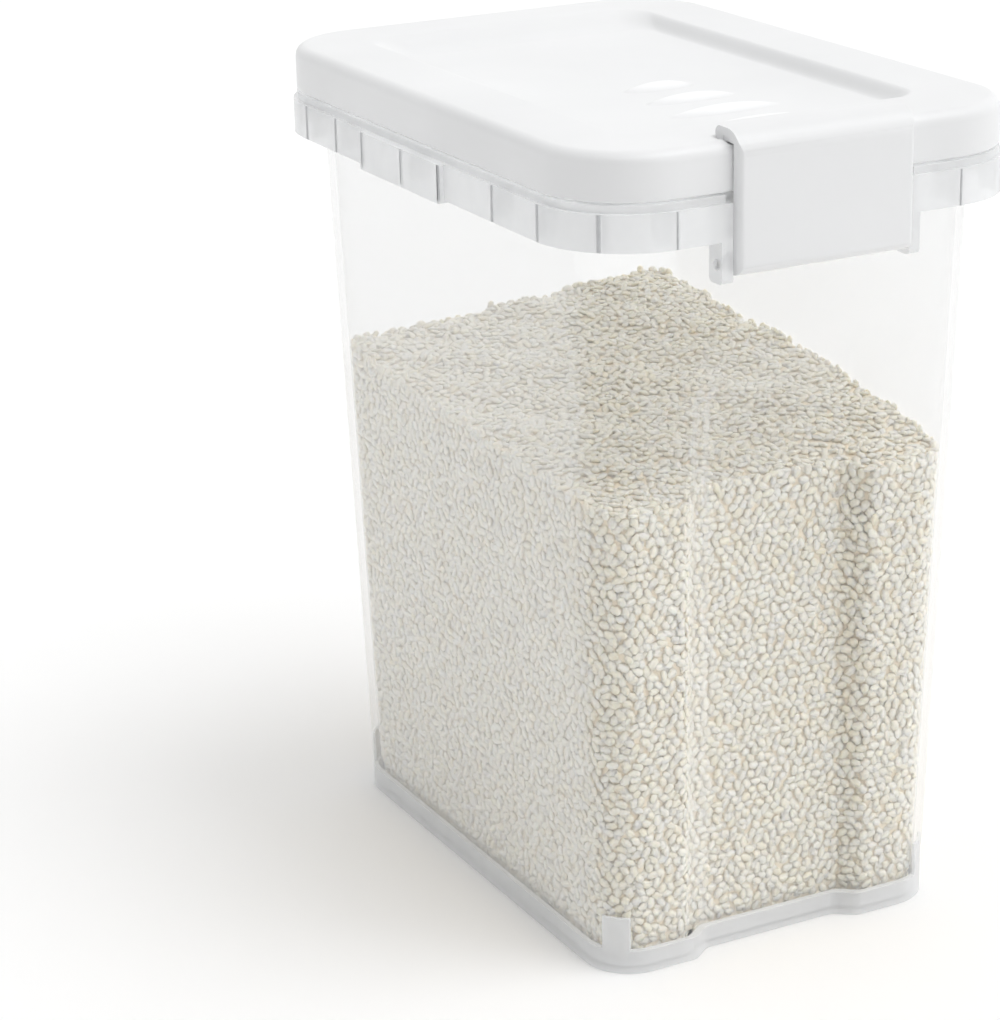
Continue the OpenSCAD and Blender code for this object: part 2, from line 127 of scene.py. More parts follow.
def roundCorners(piece, width, segments, cornerDegrees):
    bevel = piece.modifiers.new("rounded corners", "BEVEL")
    bevel.width = width
    bevel.segments = segments
    bevel.limit_method = "ANGLE"
    bevel.angle_limit = math.radians(cornerDegrees)
    bevel.use_clamp_overlap = True
    bevel.harden_normals = True


# a CAD node's own form with its corners rounded off
def softCopy(name, node, edge, segments):
    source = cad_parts[node].data
    mesh = bpy.data.meshes.new(name)
    mesh.from_pydata([v.co[:] for v in source.vertices], [], [tuple(f.vertices) for f in source.polygons])
    form = bmesh.new()
    form.from_mesh(mesh)
    bmesh.ops.remove_doubles(form, verts=form.verts, dist=meshCare["weld"])
    flat = math.radians(meshCare["flatDegrees"])
    bmesh.ops.dissolve_limit(form, angle_limit=flat, verts=form.verts, edges=form.edges)
    form.to_mesh(mesh)
    form.free()
    piece = cleanPiece(name, mesh, 180)
    roundCorners(piece, edge, segments, meshCare["cornerDegrees"])
    return piece


# a piece gets its body and its finish, and the CAD nodes it stands for, if any, are hidden
def dress(piece, body, material, slotName=None, *nodes):
    piece.data.materials.clear()
    piece.data.materials.append(material)
    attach(piece, body)
    if nodes:
        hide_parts(*nodes)
    return piece


def newMaterial(name):
    material = bpy.data.materials.new(name)
    material.use_nodes = True
    nodes, links = material.node_tree.nodes, material.node_tree.links
    return material, nodes, links, nodes["Principled BSDF"]


# a node's input takes a plain value or another node's result
def feed(links, port, value):
    if isinstance(value, bpy.types.NodeSocket):
        links.new(value, port)
    else:
        port.default_value = value


def addMath(nodes, links, operation, *values):
    step = nodes.new("ShaderNodeMath")
    step.operation = operation
    for port, value in zip(step.inputs, values):
        feed(links, port, value)
    return step.outputs["Value"]


def addNoise(nodes, links, scale, detail):
    place = nodes.new("ShaderNodeTexCoord")
    noise = nodes.new("ShaderNodeTexNoise")
    noise.inputs["Scale"].default_value = scale
    noise.inputs["Detail"].default_value = detail
    links.new(place.outputs["Object"], noise.inputs["Vector"])
    return noise.outputs["Fac"]


noiseSpan = (0.3, 0.7)          # nearly all of the noise lies between these


def addRange(nodes, links, source, low, high):
    spread = nodes.new("ShaderNodeMapRange")
    spread.inputs["From Min"].default_value = noiseSpan[0]
    spread.inputs["From Max"].default_value = noiseSpan[1]
    spread.inputs["To Min"].default_value = low
    spread.inputs["To Max"].default_value = high
    links.new(source, spread.inputs["Value"])
    return spread.outputs["Result"]


def addTint(nodes, links, source, first, second):
    tint = nodes.new("ShaderNodeMix")
    tint.data_type = "RGBA"
    links.new(source, tint.inputs["Factor"])
    feed(links, tint.inputs["A"], first)
    feed(links, tint.inputs["B"], second)
    return tint.outputs["Result"]


def addBump(nodes, links, height, strength, depth, shader):
    bump = nodes.new("ShaderNodeBump")
    bump.inputs["Strength"].default_value = strength
    bump.inputs["Distance"].default_value = depth
    links.new(height, bump.inputs["Height"])
    links.new(bump.outputs["Normal"], shader.inputs["Normal"])


# a colour that drifts a little over a piece
def addDrift(nodes, links, finish, shader):
    cloud = addNoise(nodes, links, *finish["cloud"])
    share = addRange(nodes, links, cloud, 0, 1)
    colour = addTint(nodes, links, share, (*finish["shade"], 1), (*finish["fleck"], 1))
    links.new(colour, shader.inputs["Base Color"])
    return cloud, colour


def addGloss(nodes, links, cloud, finish, shader):
    links.new(addRange(nodes, links, cloud, *finish["gloss"]), shader.inputs["Roughness"])


def addDepth(shader, weight, reach):
    shader.inputs["Subsurface Weight"].default_value = weight
    shader.inputs["Subsurface Radius"].default_value = reach


def mixShaders(material, share, first, second):
    nodes, links = material.node_tree.nodes, material.node_tree.links
    mix = nodes.new("ShaderNodeMixShader")
    links.new(share, mix.inputs["Fac"])
    links.new(first, mix.inputs[1])
    links.new(second, mix.inputs[2])
    links.new(mix.outputs["Shader"], nodes["Material Output"].inputs["Surface"])


whitePlastic = {
    "shade": (0.845, 0.85, 0.855),
    "fleck": (0.80, 0.805, 0.81),
    "cloud": (9, 4),            # scale and detail of the drift between them
    "gloss": (0.34, 0.46),      # roughness, low and high
    "moulding": (2600, 2),      # the fine moulded texture, how strong and how deep it is
    "relief": (0.25, 0.00002),
    "ridgeHighlight": (0.945, 0.95, 0.955),   # painted highlight on the thumb ridges
    "density": 1.49,            # index of refraction
    "depth": (0.06, (0.004, 0.004, 0.004)),     # light under the skin, its share and reach
}


def whitePlasticFinish():
    material, nodes, links, shader = newMaterial("white moulded plastic")
    form = whitePlastic
    cloud, plain = addDrift(nodes, links, form, shader)
    addGloss(nodes, links, cloud, form, shader)
    # the thumb ridges get a lighter colour from the mesh's ridge share, a painted highlight
    ridge = nodes.new("ShaderNodeAttribute")
    ridge.attribute_name = "ridge"
    highlightedTint = addTint(nodes, links, ridge.outputs["Fac"], plain, (*form["ridgeHighlight"], 1))
    links.new(highlightedTint, shader.inputs["Base Color"])
    addBump(nodes, links, addNoise(nodes, links, *form["moulding"]), *form["relief"], shader)
    shader.inputs["IOR"].default_value = form["density"]
    addDepth(shader, *form["depth"])
    return material


# share, a socket, is how much of the skin's own look covers what is behind it, and lightHeld
# is how much of that also holds back light, because a thin skin scatters most of it onwards
def seeThroughMix(material, share, shader, tint, lightHeld):
    nodes, links = material.node_tree.nodes, material.node_tree.links
    path = nodes.new("ShaderNodeLightPath")
    lightRay = addMath(nodes, links, "MAXIMUM", path.outputs["Is Shadow Ray"], path.outputs["Is Diffuse Ray"])
    held = addMath(nodes, links, "MULTIPLY_ADD", lightRay, lightHeld - 1, 1)
    cover = addMath(nodes, links, "MULTIPLY", share, held)
    clearWay = nodes.new("ShaderNodeBsdfTransparent")
    clearWay.inputs["Color"].default_value = (*tint, 1)
    mixShaders(material, cover, clearWay.outputs["BSDF"], shader.outputs["BSDF"])


clearPlastic = {
    "shade": (0.97, 0.975, 0.98),
    "tint": (0.996, 0.997, 0.997),
    "gloss": (0.05, 0.11),
    "ripple": (38, 2),
    "relief": (0.4, 0.00003),
    "haze": (0.080, 0.46),      # milkiness face on, and how much more there is edge on
    "hazeCurve": 2.0,
    "lightHeld": 0.10,
}


# clear polystyrene turns milky the more it is seen edge on
def clearPlasticFinish():
    material, nodes, links, shader = newMaterial("clear moulded plastic")
    form = clearPlastic
    ripple = addNoise(nodes, links, *form["ripple"])
    shader.inputs["Base Color"].default_value = (*form["shade"], 1)
    addGloss(nodes, links, ripple, form, shader)
    addBump(nodes, links, ripple, *form["relief"], shader)
    edge = nodes.new("ShaderNodeLayerWeight")
    edge.inputs["Blend"].default_value = 0.5
    steep = addMath(nodes, links, "POWER", edge.outputs["Facing"], form["hazeCurve"])
    haze = addMath(nodes, links, "MULTIPLY_ADD", steep, form["haze"][1], form["haze"][0])
    seeThroughMix(material, haze, shader, form["tint"], form["lightHeld"])
    return material


frostedPlastic = {
    "shade": (0.93, 0.935, 0.94),
    "fleck": (0.89, 0.895, 0.90),
    "cloud": (60, 3),
    "tint": (0.97, 0.975, 0.98),
    "gloss": (0.32, 0.45),
    "grain": (1800, 2),
    "relief": (0.3, 0.00003),
    "density": 1.49,
    "cover": (0.55, 0.62),      # how much one skin hides what is behind it
    "lightHeld": 0.50,
}


def frostedPlasticFinish():
    material, nodes, links, shader = newMaterial("frosted plastic")
    form = frostedPlastic
    cloud = addDrift(nodes, links, form, shader)[0]
    addGloss(nodes, links, cloud, form, shader)
    addBump(nodes, links, addNoise(nodes, links, *form["grain"]), *form["relief"], shader)
    shader.inputs["IOR"].default_value = form["density"]
    cover = addRange(nodes, links, cloud, *form["cover"])
    seeThroughMix(material, cover, shader, form["tint"], form["lightHeld"])
    return material


# frosted plastic coloured darker where a rib stands behind it: painted shade for the light that the thicker
# plastic holds back
ribShadePlastic = {
    "shade": (0.60, 0.61, 0.62),
    "fleck": (0.52, 0.53, 0.54),
    "cloud": (300, 2),
    "gloss": 0.3,               # even, so it is set on the shader itself
}


def ribShadeFinish():
    material, nodes, links, shader = newMaterial("frosted plastic with painted rib shade")
    addDrift(nodes, links, ribShadePlastic, shader)
    shader.inputs["Roughness"].default_value = ribShadePlastic["gloss"]
    return material


# the gasket's dark grey is picked so the seam under the lid reads dark: painted shade; the gasket's real
# colour is not known
seamShadeSilicone = {
    "shade": (0.36, 0.365, 0.37),
    "fleck": (0.31, 0.315, 0.32),
    "cloud": (120, 3),
    "gloss": (0.5, 0.65),
    "relief": (0.3, 0.00005),
    "depth": (0.2, (0.003, 0.003, 0.003)),
}


def seamShadeSiliconeFinish():
    material, nodes, links, shader = newMaterial("silicone")
    cloud = addDrift(nodes, links, seamShadeSilicone, shader)[0]
    addGloss(nodes, links, cloud, seamShadeSilicone, shader)
    addBump(nodes, links, cloud, *seamShadeSilicone["relief"], shader)
    addDepth(shader, *seamShadeSilicone["depth"])
    return material


greyPin = {
    "shade": (0.60, 0.60, 0.60),
    "fleck": (0.52, 0.52, 0.52),
    "cloud": (400, 3),
    "gloss": (0.3, 0.45),
}


def pinFinish():
    material, nodes, links, shader = newMaterial("pin plastic")
    cloud = addDrift(nodes, links, greyPin, shader)[0]
    addGloss(nodes, links, cloud, greyPin, shader)
    return material


riceLook = {
    "pale": (0.99, 0.94, 0.84),
    "warm": (0.965, 0.865, 0.68),
    "bed": (0.92, 0.81, 0.64),
    "cloud": (700, 2),
    "cloudShare": 0.4,          # how much the drift in a grain adds to the grain's own tone
    "gloss": (0.24, 0.42),
    "depth": (0.5, (0.0018, 0.0015, 0.0011)),
    "density": 1.45,
    "bedCells": 330,
    "bedRelief": (0.8, -0.0006),
    "bedGloss": 0.6,
}


def riceFinish():
    material, nodes, links, shader = newMaterial("rice grains")
    form = riceLook
    tone = nodes.new("ShaderNodeAttribute")
    tone.attribute_name = "grainTone"
    cloud = addNoise(nodes, links, *form["cloud"])
    both = addMath(nodes, links, "MULTIPLY_ADD", cloud, form["cloudShare"], tone.outputs["Fac"])
    colour = addTint(nodes, links, both, (*form["pale"], 1), (*form["warm"], 1))
    links.new(colour, shader.inputs["Base Color"])
    addGloss(nodes, links, cloud, form, shader)
    addDepth(shader, *form["depth"])
    shader.inputs["Subsurface Scale"].default_value = 1.0
    shader.inputs["IOR"].default_value = form["density"]
    return material


def riceBedFinish():
    material, nodes, links, shader = newMaterial("rice in the gaps")
    form = riceLook
    cells = nodes.new("ShaderNodeTexVoronoi")
    cells.inputs["Scale"].default_value = form["bedCells"]
    place = nodes.new("ShaderNodeTexCoord")
    links.new(place.outputs["Object"], cells.inputs["Vector"])
    apart = cells.outputs["Distance"]
    colour = addTint(nodes, links, apart, (*form["warm"], 1), (*form["bed"], 1))
    links.new(colour, shader.inputs["Base Color"])
    addBump(nodes, links, apart, *form["bedRelief"], shader)
    shader.inputs["Roughness"].default_value = form["bedGloss"]
    return material


white = whitePlasticFinish()
clear = clearPlasticFinish()
frosted = frostedPlasticFinish()
ribShade = ribShadeFinish()
silicone = seamShadeSiliconeFinish()
pinPlastic = pinFinish()
print("finishes made")


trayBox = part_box("base_tray")
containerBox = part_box("container")
wallForm = {
    "flange": 0.005,
    "flangeThick": 0.003,
    "wall": 0.003,
    "corner": 0.019,
    "trayTop": 0.0095,
    "trayWall": 0.0024,         # room that the tray's wall takes
    "footTaper": 0.0010,        # how much further in the inside runs at the foot
    "taperFrom": 0.0125,
    "taperRun": 0.004,
    "footLift": 0.0001,         # the foot stands just clear of the tray
    "floorTop": 0.0052,
    "floorCurve": 0.004,
    "rimEdge": 0.0007,
    "pocketTop": 0.0232,
    "pocketDepth": 0.0014,
    "pocketHalf": 0.0057,
    "dentFloor": 0.027,         # half width of the dent's flat floor
    "dentStep": 0.011,
    "dentDepth": 0.006,
    "fadeLow": 0.204,
    "fadeHigh": 0.248,
    "plainFrom": 0.27,
    "flangeRoot": 0.001,
    "sharpDegrees": 32,
}
footHalf = Vector(trayBox[1][:2])
rimHalf = Vector(containerBox[1][:2]) - Vector((wallForm["flange"], wallForm["flange"]))
rimTop = containerBox[1].z


def wallHalf(height):
    share = (height - wallForm["trayTop"]) / (rimTop - wallForm["trayTop"])
    return footHalf.lerp(rimHalf, share)


def dentShare(height):
    return ease((wallForm["fadeHigh"] - height) / (wallForm["fadeHigh"] - wallForm["fadeLow"]))


# the wall's outline at a height, moved inwards, with a pocket cut across each corner
def wallOutline(height, inset=0.0, pocket=0.0, cornerSteps=20, dentSteps=12):
    halfX, halfY = wallHalf(height) - Vector((inset, inset))
    depth = (wallHalf(height).y - (footHalf.y - wallForm["dentDepth"])) * float(dentShare(height))
    radius = wallForm["corner"] - inset
    share = np.linspace(1, 0, dentSteps + 1)
    stepX = wallForm["dentFloor"] + inset + wallForm["dentStep"] * share
    left = np.column_stack([-stepX, ease(1 - share) * depth - halfY])
    right = left[::-1] * (-1, 1)
    front = np.concatenate([left, right])
    half = math.asin(wallForm["pocketHalf"] / wallForm["corner"])
    edges = [math.pi / 4 - half, math.pi / 4 + half]
    turn = np.sort(np.concatenate([quarter(cornerSteps), edges, edges]))
    reach = np.where((turn >= edges[0]) & (turn <= edges[1]), radius - pocket, radius)
    at = np.flatnonzero(np.isclose(turn, edges[0]))[0], np.flatnonzero(np.isclose(turn, edges[1]))[-1]
    reach[list(at)] = radius
    points = [front]
    for k, (signX, signY) in enumerate([(1, -1), (1, 1), (-1, 1), (-1, -1)]):
        centre = np.array([signX * (halfX - radius), signY * (halfY - radius)])
        angles = turn + (k - 1) * math.pi / 2
        points.append(centre + reach[:, None] * np.column_stack([np.cos(angles), np.sin(angles)]))
    return np.concatenate(points)


def atHeight(outline, height):
    return np.column_stack([outline, np.full(len(outline), height)])


def containerRings():
    form = wallForm
    top, tray, edge = rimTop, form["trayTop"], form["rimEdge"]
    plug, thick = form["trayWall"], form["wall"]
    tall, root = top - form["flangeThick"], form["flangeRoot"]
    foot, lift = containerBox[0].z + form["footLift"], form["footLift"]
    rings = []

    def ring(height, inset, drawnAt=None, pocket=0.0):
        rings.append(atHeight(wallOutline(drawnAt or height, inset, pocket), height))

    ring(foot, plug + edge, tray)
    ring(foot + edge, plug, tray)
    ring(tray, plug, tray)
    ring(tray + lift, form["pocketDepth"], tray)
    ring(tray + lift, 0, tray, form["pocketDepth"])
    ring(form["pocketTop"], 0, None, form["pocketDepth"])
    ring(form["pocketTop"], 0)
    for height in np.linspace(0.04, form["fadeLow"], 8):
        ring(height, 0)
    for height in np.linspace(form["fadeLow"], form["fadeHigh"], 12)[1:]:
        ring(height, 0)
    ring(form["plainFrom"], 0)
    ring(tall - root, 0)
    ring(tall, -root, top)
    ring(tall, edge - form["flange"], top)
    ring(tall + edge, -form["flange"], top)
    ring(top - edge, -form["flange"], top)
    ring(top, edge - form["flange"], top)
    ring(top, thick - edge, top)
    ring(top - edge, thick, top)
    ring(form["plainFrom"], thick)
    for height in np.linspace(form["fadeHigh"], form["fadeLow"], 12):
        ring(height, thick)
    for height in np.linspace(form["fadeLow"], form["taperFrom"], 9)[1:]:
        ring(height, thick)
    low, curve = form["floorTop"], form["floorCurve"]
    for angle in quarter(5):
        inset = thick + form["footTaper"] + curve * (1 - math.cos(angle))
        ring(low + curve * (1 - math.sin(angle)), inset, tray)
    return rings


container = ringsToMesh("clearContainer", containerRings(), wallForm["sharpDegrees"])
dress(container, "bin", clear, "clear_wall", "container")
print("container done")


frostedCorners = {"tray": (0.0006, 3), "collar": (0.00035, 2)}     # radius and steps

tray = softCopy("baseTray", "base_tray", *frostedCorners["tray"])
dress(tray, "bin", frosted, "frosted_plastic", "base_tray")
collar = softCopy("rimCollar", "rim_collar", *frostedCorners["collar"])
dress(collar, "bin", frosted, "frosted_plastic", "rim_collar")
ribLines = {
    "skirtHalf": (0.094, 0.133),
    "corner": 0.0355,
    "low": 0.28565,
    "high": 0.29885,
    "proud": 0.00025,
    "sunk": 0.0004,
    "crestShare": 0.3,
    "sideWidth": 0.0014,
    "endWidth": 0.0009,
    "sidePlaces": (0.093, 0.066, -0.0645, -0.098),
    "endPlaces": (-0.0585, 0.0585),
    "padPlaces": (0.0375, 0.004, -0.0265),
    "padProud": 0.00215,        # far enough to show on the pad, and no wider than the bin
    "sharpDegrees": 50,
}


# where a moulded rib meets the skirt, it shows outside as a fine raised line, coloured darker as painted
# shade
def ribLine(name, place, outward, width):
    form = ribLines
    outward = np.array(outward, float)
    along = np.array([-outward[1], outward[0]])
    foot, crest = width / 2, width * form["crestShare"]
    half = [(foot, -form["sunk"]), (foot, 0), (crest, form["proud"])]
    profile = [(-a, b) for a, b in half] + half[::-1]
    ring = np.array([np.array(place) + along * a + outward * b for a, b in profile])
    ends = [atHeight(ring, form["low"]), atHeight(ring, form["high"])]
    line = ringsToMesh(name, ends, form["sharpDegrees"])
    return dress(line, "bin", ribShade, "frosted_plastic")


ribPlaces = []
for side, sign in (("Left", -1), ("Right", 1)):
    faceX = sign * ribLines["skirtHalf"][0]
    for y in ribLines["sidePlaces"]:
        ribPlaces.append((side, (faceX, y), (sign, 0), ribLines["sideWidth"]))
    for y in ribLines["padPlaces"]:
        ribPlaces.append((side, (faceX + sign * ribLines["padProud"], y), (sign, 0), ribLines["sideWidth"]))
    for end, endSign in (("Front", -1), ("Back", 1)):
        reach = ribLines["corner"] * math.sqrt(0.5)
        diagonal = [signed * (half - ribLines["corner"] + reach)
                    for signed, half in zip((sign, endSign), ribLines["skirtHalf"])]
        slant = (sign * math.sqrt(0.5), endSign * math.sqrt(0.5))
        ribPlaces.append((end + side, diagonal, slant, ribLines["sideWidth"]))
for end, sign in (("Front", -1), ("Back", 1)):
    for x in ribLines["endPlaces"]:
        ribPlaces.append((end, (x, sign * ribLines["skirtHalf"][1]), (0, sign), ribLines["endWidth"]))
for number, (label, place, outward, width) in enumerate(ribPlaces):
    ribLine("collarRib" + label + str(number), place, outward, width)
print("tray and collar done")


lidForm = {
    "half": (0.0925, 0.1315),
    "corner": 0.034,
    "bottom": 0.3026,
    "top": 0.320,
    "edgeCurve": 0.0045,
    "lowerEdge": 0.0005,
    "shell": 0.0025,
    "hollowTop": 0.3112,
    "hollowFoot": 0.003,
    "hollowSlope": 0.0012,
    "panelHalf": (0.0625, 0.102),
    "panelCorner": 0.012,
    "panelDepth": 0.005,
    "slope": 0.005,             # plan width of the panel's wall at the front and sides
    "ramp": 0.014,              # and at the back
    "softening": 0.0012,        # how far the wall's rounding reaches past its edges
    "ridgeHeight": 0.0026,
    "ridgeWidth": 0.0092,
    "ridgeFirst": -0.0914,
    "ridgePitch": 0.0235,
    "ridgeLengths": (0.054, 0.047, 0.038, 0.030),
    "ridgeHighlightReach": 1.6,            # how soon the painted highlight on a ridge is full
    "beadAt": (-0.1229, 0.3213),
    "beadRoom": 0.0032,         # radius of the groove round the latch's bead
    "pivotAt": (-0.1295, 0.277),
    "swing": 0.0416,            # the lid clears the bead's way outside this radius
    "seatHalf": 0.0365,
    "seatEase": 0.0012,         # its ends slope over this width
    "sideSteps": 72,
    "sharpDegrees": 44,
}


# how high the thumb ridges stand at a point, from 0 to 1
def ridgeSwell(x, y):
    form = lidForm
    swell = 0
    for i, length in enumerate(form["ridgeLengths"]):
        along = 2 * x / length
        across = 2 * (y - form["ridgeFirst"] - i * form["ridgePitch"]) / form["ridgeWidth"]
        swell = swell + np.clip(1 - along ** 2 - across ** 2, 0, 1)
    return swell


# raises the thumb ridges, and clears the way of the latch's bead in and out of its groove
def lidSurface(ring):
    form = lidForm
    x, y, z = ring.T
    onTop = z > form["hollowTop"]
    onPanel = z < form["top"] - 0.9 * form["panelDepth"]
    z = np.where(onPanel & onTop, z + form["ridgeHeight"] * ridgeSwell(x, y), z)
    beadY, beadZ = form["beadAt"]
    pivotY, pivotZ = form["pivotAt"]
    groove = beadZ - np.sqrt(np.clip(form["beadRoom"] ** 2 - (y - beadY) ** 2, 0, None))
    seat = pivotZ + np.sqrt(np.clip(form["swing"] ** 2 - (y - pivotY) ** 2, 0, None))
    floor = np.where(y < beadY, np.minimum(seat, groove), groove)
    ends = form["seatEase"]
    room = np.clip((form["seatHalf"] + ends / 2 - np.abs(x)) / ends, 0, 1)
    sunk = np.clip(z - floor, 0, None) * room * onTop * (y < beadY + form["beadRoom"])
    return np.column_stack([x, y, z - sunk])


def lidRings():
    form = lidForm
    halfX, halfY = form["half"]
    top, shell, low, curve = form["top"], form["shell"], form["lowerEdge"], form["edgeCurve"]
    sideSteps = form["sideSteps"]
    rings = []

    def ring(inset, height):
        outline = roundOutline((halfX - inset, halfY - inset), form["corner"] - inset, 16, sideSteps)
        rings.append(atHeight(outline, height))

    ring(shell + form["hollowSlope"], form["hollowTop"])
    ring(shell, form["bottom"] + form["hollowFoot"])
    ring(shell, form["bottom"] + low)
    ring(shell - low, form["bottom"])
    ring(low, form["bottom"])
    ring(0, form["bottom"] + low)
    for angle in quarter(14):
        ring(curve * (1 - math.cos(angle)), top - curve + curve * math.sin(angle))
    outer = rings[-1]

    # the edge of the panel's wall, from its top at 0 to its foot at 1, and a little past both
    def panelRing(grow):
        slope, ramp = form["slope"] * grow, form["ramp"] * grow
        half = (form["panelHalf"][0] - slope, form["panelHalf"][1] - (slope + ramp) / 2)
        outline = roundOutline(half, form["panelCorner"] - slope / 2, 16, sideSteps)
        return outline + (0, (slope - ramp) / 2)

    past = form["softening"] / form["slope"]
    edge = atHeight(panelRing(-past), top)
    for share in np.linspace(0, 1, 25)[1:]:
        rings.append(outer + (edge - outer) * share)
    for share in np.linspace(0, 1, 17)[1:]:
        outline = panelRing(share * (1 + 2 * past) - past)
        rings.append(atHeight(outline, top - form["panelDepth"] * float(ease(share))))
    foot = rings[-1]
    middle = foot.mean(0)
    for share in np.linspace(1, 0.004, 110)[1:]:
        rings.append(middle + (foot - middle) * share)
    return [lidSurface(r) for r in rings]


lid = ringsToMesh("lidShell", lidRings(), lidForm["sharpDegrees"])
# each point's share of the painted highlight on the thumb ridges
ridgeHighlightShare = lid.data.attributes.new("ridge", "FLOAT", "POINT")
for vertex in lid.data.vertices:
    x, y, z = vertex.co
    if lidForm["hollowTop"] + 0.001 < z < lidForm["top"] - 0.001:
        ridgeHighlightShare.data[vertex.index].value = min(1.0, lidForm["ridgeHighlightReach"] * float(ridgeSwell(x, y)))
dress(lid, "lid", white, "white_plastic", "lid_shell")

knuckleForm = {
    "places": (-0.046, 0.046),
    "width": 0.020,
    "axis": (0.1383, 0.30135),
    "radius": 0.0045,
    "root": 0.1292,
    "webTop": 0.3068,
    "endDegrees": 420,          # where the round part meets the web again
    "edge": 0.0004,
}


sideForm = {"segments": 3, "sharpDegrees": 40}


# a side view of (y, z) points, thickened along X
def extrudedPiece(name, profile, low, high, edge):
    count = len(profile)
    points = [(x, y, z) for x in (low, high) for y, z in profile]
    faces = [tuple(range(count))[::-1], tuple(range(count, 2 * count))]
    faces += [(i, (i + 1) % count, count + (i + 1) % count, count + i) for i in range(count)]
    piece = pieceFrom(name, points, faces, sideForm["sharpDegrees"])
    roundCorners(piece, edge, sideForm["segments"], sideForm["sharpDegrees"])
    return piece


def knuckleProfile():
    form = knuckleForm
    centreY, centreZ = form["axis"]
    lower = math.pi - math.asin((lidForm["bottom"] - centreZ) / form["radius"])
    angles = np.linspace(lower, math.radians(form["endDegrees"]), 40)
    arc = arcPoints((centreY, centreZ), form["radius"], angles)
    return [(form["root"], form["webTop"]), (form["root"], lidForm["bottom"])] + [tuple(p) for p in arc]


for side, x in zip(("Left", "Right"), knuckleForm["places"]):
    half = knuckleForm["width"] / 2
    knuckle = extrudedPiece("lidKnuckle" + side, knuckleProfile(), x - half, x + half, knuckleForm["edge"])
    dress(knuckle, "lid", white, "white_plastic")

sealCorners = {"liner": (0.0003, 2), "gasket": (0.0005, 2)}
liner = softCopy("lidLiner", "lid_liner", *sealCorners["liner"])
dress(liner, "lid", white, "white_plastic", "lid_liner")
for thin in (lid, liner):       # thin white plastic lets light through to the rice
    thin.visible_shadow = False
# its dark grey finish is painted shade for the seam
gasket = softCopy("lidGasket", "lid_gasket", *sealCorners["gasket"])
dress(gasket, "lid", silicone, "silicone", "lid_gasket")
print("lid done")


latchCorners = {"latch": (0.0006, 3), "pin": (0.0003, 2)}
dress(softCopy("swingLatch", "latch", *latchCorners["latch"]), "latch", white, "white_plastic", "latch")

cheekForm = {
    "outer": 0.0358,
    "thick": 0.0016,
    "reach": 0.0421,            # its lower edge swings clear of the lid
    "tip": -0.1226,
    "face": -0.1352,
    "top": 0.3219,
    "cornerCut": 0.0045,
    "edge": 0.0002,
}


# closes the end of the hollow between the latch's lip and its face
def cheekProfile():
    form = cheekForm
    pivotY, pivotZ = lidForm["pivotAt"]
    y = np.linspace(form["face"], form["tip"], 14)
    lower = pivotZ + np.sqrt(form["reach"] ** 2 - (y - pivotY) ** 2)
    face, tip, top, cut = (form[k] for k in ("face", "tip", "top", "cornerCut"))
    return [tuple(p) for p in zip(y, lower)] + [(tip, top), (face + cut, top), (face, top - cut / 2)]


for side, sign in (("Left", -1), ("Right", 1)):
    ends = sorted((sign * cheekForm["outer"], sign * (cheekForm["outer"] - cheekForm["thick"])))
    cheek = extrudedPiece("latchCheek" + side, cheekProfile(), *ends, cheekForm["edge"])
    dress(cheek, "latch", white, "white_plastic")
for node in ("hinge_pin_left", "hinge_pin_right", "latch_pin_left", "latch_pin_right"):
    words = node.split("_")
    pieceName = words[0] + "Pin" + words[2].capitalize()
    dress(softCopy(pieceName, node, *latchCorners["pin"]), "bin", pinPlastic, "pin_plastic", node)
print("latch and pins done")


riceForm = {
    "low": 0.0060,
    "firstRow": 0.0012,         # above low
    "rowsTo": 0.212,
    "wallGap": 0.0003,          # between the grains and the wall
    "grain": (0.0050, 0.0039, 0.0020),
    "spread": 0.07,             # how much grain sizes vary
    "frontPitch": (0.0031, 0.0043),   # rows, and places in a row, of the grains that show whole
    "backPitch": (0.0040, 0.0052),    # the same for the grains seen between them
    "backDepth": 0.0006,
    "loose": (0.0003, 0.0006),  # how far grains lie back at random, in each layer
    "wallTilt": 0.16,
    "topTilt": 0.28,
    "jitter": 0.25,             # of a pitch, on the walls
    "topJitter": 0.3,
    "bedDepth": 0.0017,
    "bedFrom": 0.001,
    "bedTo": 0.170,
    "bedPoints": 260,
    "bedSharpDegrees": 60,
    "topOutline": 0.19,         # the upper surface has the wall's outline at this height
    "topInset": 0.0014,
    "underTop": 0.0006,
}
heapForm = {
    "level": 0.1938,
    "half": (0.077, 0.11),
    "backRise": 0.0062,
    "rightRise": 0.0032,
    "rightFrom": (0.1, 0.09),   # how far to the front it begins, and over what length it grows
    "frontDip": 0.0040,
    "dipFrom": (-0.070, 0.035),
    "heap": 0.0040,
    "heapAt": (0.060, 0.100),
    "heapSpread": (0.032, 0.050),
    "rightSwell": 0.0020,
    "swellAt": (0.010, 0.055),
    "waves": (0.0008, 0.0005),  # broad ones and fine ones, and how close they lie
    "broadTurns": (74, 61),
    "fineTurns": (160, 130),
    "waveStart": 1.3,
}


